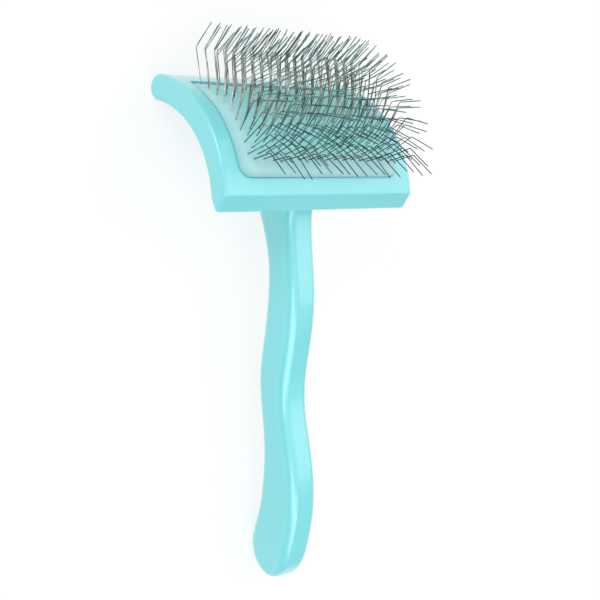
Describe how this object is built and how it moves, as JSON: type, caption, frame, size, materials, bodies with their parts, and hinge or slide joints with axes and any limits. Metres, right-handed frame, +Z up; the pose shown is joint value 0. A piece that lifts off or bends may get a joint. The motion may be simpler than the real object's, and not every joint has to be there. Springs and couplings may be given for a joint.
{
  "type": "slicker brush",
  "caption": "Curved pet slicker brush: arched painted wooden head on an S-shaped handle, soft cushion and staggered rows of long bent wire pins.",
  "frame": {"origin": "centre of the bounding box's lower face, on the plane that the brush lies on with its pins upward", "axes": "+X along the curved head, +Y from the handle's butt to the head's nose, +Z up, away from the resting plane and towards the pins"},
  "size_m": [0.1182, 0.2554, 0.075],
  "materials": {
    "painted_wood": "satin",
    "cushion_rubber": "matte",
    "foundation_cloth": "matte",
    "adhesive_tape": "matte",
    "wood_glue": "satin",
    "screw_steel": "satin",
    "pin_wire": "satin"
  },
  "bodies": {
    "brush": {"head_block": "painted_wood", "handle": "painted_wood", "neck_glue_film": "wood_glue", "neck_screws": "screw_steel", "rim_tape": "adhesive_tape", "foundation_cloth": "foundation_cloth", "cushion": "cushion_rubber"},
    "pin_row_01": {"pin_row_01": "pin_wire"},
    "pin_row_02": {"pin_row_02": "pin_wire"},
    "pin_row_03": {"pin_row_03": "pin_wire"},
    "pin_row_04": {"pin_row_04": "pin_wire"},
    "pin_row_05": {"pin_row_05": "pin_wire"},
    "pin_row_06": {"pin_row_06": "pin_wire"},
    "pin_row_07": {"pin_row_07": "pin_wire"},
    "pin_row_08": {"pin_row_08": "pin_wire"},
    "pin_row_09": {"pin_row_09": "pin_wire"},
    "pin_row_10": {"pin_row_10": "pin_wire"},
    "pin_row_11": {"pin_row_11": "pin_wire"},
    "pin_row_12": {"pin_row_12": "pin_wire"},
    "pin_row_13": {"pin_row_13": "pin_wire"},
    "pin_row_14": {"pin_row_14": "pin_wire"},
    "pin_row_15": {"pin_row_15": "pin_wire"},
    "pin_row_16": {"pin_row_16": "pin_wire"},
    "pin_row_17": {"pin_row_17": "pin_wire"},
    "pin_row_18": {"pin_row_18": "pin_wire"}
  },
  "joints": [
    {"name": "pin_row_01_flex", "type": "hinge", "parent": "brush", "child": "pin_row_01", "pos_m": [0, 0.0967, 0.02371], "axis": [1, 0, 0], "range_deg": [-6, 6], "stiffness_Nm_per_rad": 0.02, "deforming": ["cushion", "foundation_cloth"]},
    {"name": "pin_row_02_flex", "type": "hinge", "parent": "brush", "child": "pin_row_02", "pos_m": [0, 0.09478, 0.02633], "axis": [1, 0, 0], "range_deg": [-6, 6], "stiffness_Nm_per_rad": 0.02, "deforming": ["cushion", "foundation_cloth"]},
    {"name": "pin_row_03_flex", "type": "hinge", "parent": "brush", "child": "pin_row_03", "pos_m": [0, 0.09279, 0.02873], "axis": [1, 0, 0], "range_deg": [-6, 6], "stiffness_Nm_per_rad": 0.02, "deforming": ["cushion", "foundation_cloth"]},
    {"name": "pin_row_04_flex", "type": "hinge", "parent": "brush", "child": "pin_row_04", "pos_m": [0, 0.09076, 0.0309], "axis": [1, 0, 0], "range_deg": [-6, 6], "stiffness_Nm_per_rad": 0.02, "deforming": ["cushion", "foundation_cloth"]},
    {"name": "pin_row_05_flex", "type": "hinge", "parent": "brush", "child": "pin_row_05", "pos_m": [0, 0.08874, 0.03286], "axis": [1, 0, 0], "range_deg": [-6, 6], "stiffness_Nm_per_rad": 0.02, "deforming": ["cushion", "foundation_cloth"]},
    {"name": "pin_row_06_flex", "type": "hinge", "parent": "brush", "child": "pin_row_06", "pos_m": [0, 0.08675, 0.0346], "axis": [1, 0, 0], "range_deg": [-6, 6], "stiffness_Nm_per_rad": 0.02, "deforming": ["cushion", "foundation_cloth"]},
    {"name": "pin_row_07_flex", "type": "hinge", "parent": "brush", "child": "pin_row_07", "pos_m": [0, 0.08481, 0.03613], "axis": [1, 0, 0], "range_deg": [-6, 6], "stiffness_Nm_per_rad": 0.02, "deforming": ["cushion", "foundation_cloth"]},
    {"name": "pin_row_08_flex", "type": "hinge", "parent": "brush", "child": "pin_row_08", "pos_m": [0, 0.08293, 0.03748], "axis": [1, 0, 0], "range_deg": [-6, 6], "stiffness_Nm_per_rad": 0.02, "deforming": ["cushion", "foundation_cloth"]},
    {"name": "pin_row_09_flex", "type": "hinge", "parent": "brush", "child": "pin_row_09", "pos_m": [0, 0.08112, 0.03868], "axis": [1, 0, 0], "range_deg": [-6, 6], "stiffness_Nm_per_rad": 0.02, "deforming": ["cushion", "foundation_cloth"]},
    {"name": "pin_row_10_flex", "type": "hinge", "parent": "brush", "child": "pin_row_10", "pos_m": [0, 0.07937, 0.03974], "axis": [1, 0, 0], "range_deg": [-6, 6], "stiffness_Nm_per_rad": 0.02, "deforming": ["cushion", "foundation_cloth"]},
    {"name": "pin_row_11_flex", "type": "hinge", "parent": "brush", "child": "pin_row_11", "pos_m": [0, 0.07766, 0.04068], "axis": [1, 0, 0], "range_deg": [-6, 6], "stiffness_Nm_per_rad": 0.02, "deforming": ["cushion", "foundation_cloth"]},
    {"name": "pin_row_12_flex", "type": "hinge", "parent": "brush", "child": "pin_row_12", "pos_m": [0, 0.076, 0.04153], "axis": [1, 0, 0], "range_deg": [-6, 6], "stiffness_Nm_per_rad": 0.02, "deforming": ["cushion", "foundation_cloth"]},
    {"name": "pin_row_13_flex", "type": "hinge", "parent": "brush", "child": "pin_row_13", "pos_m": [0, 0.07436, 0.04229], "axis": [1, 0, 0], "range_deg": [-6, 6], "stiffness_Nm_per_rad": 0.02, "deforming": ["cushion", "foundation_cloth"]},
    {"name": "pin_row_14_flex", "type": "hinge", "parent": "brush", "child": "pin_row_14", "pos_m": [0, 0.07275, 0.04298], "axis": [1, 0, 0], "range_deg": [-6, 6], "stiffness_Nm_per_rad": 0.02, "deforming": ["cushion", "foundation_cloth"]},
    {"name": "pin_row_15_flex", "type": "hinge", "parent": "brush", "child": "pin_row_15", "pos_m": [0, 0.07116, 0.0436], "axis": [1, 0, 0], "range_deg": [-6, 6], "stiffness_Nm_per_rad": 0.02, "deforming": ["cushion", "foundation_cloth"]},
    {"name": "pin_row_16_flex", "type": "hinge", "parent": "brush", "child": "pin_row_16", "pos_m": [0, 0.06959, 0.04415], "axis": [1, 0, 0], "range_deg": [-6, 6], "stiffness_Nm_per_rad": 0.02, "deforming": ["cushion", "foundation_cloth"]},
    {"name": "pin_row_17_flex", "type": "hinge", "parent": "brush", "child": "pin_row_17", "pos_m": [0, 0.06804, 0.04465], "axis": [1, 0, 0], "range_deg": [-6, 6], "stiffness_Nm_per_rad": 0.02, "deforming": ["cushion", "foundation_cloth"]},
    {"name": "pin_row_18_flex", "type": "hinge", "parent": "brush", "child": "pin_row_18", "pos_m": [0, 0.06652, 0.04509], "axis": [1, 0, 0], "range_deg": [-6, 6], "stiffness_Nm_per_rad": 0.02, "deforming": ["cushion", "foundation_cloth"]}
  ]
}
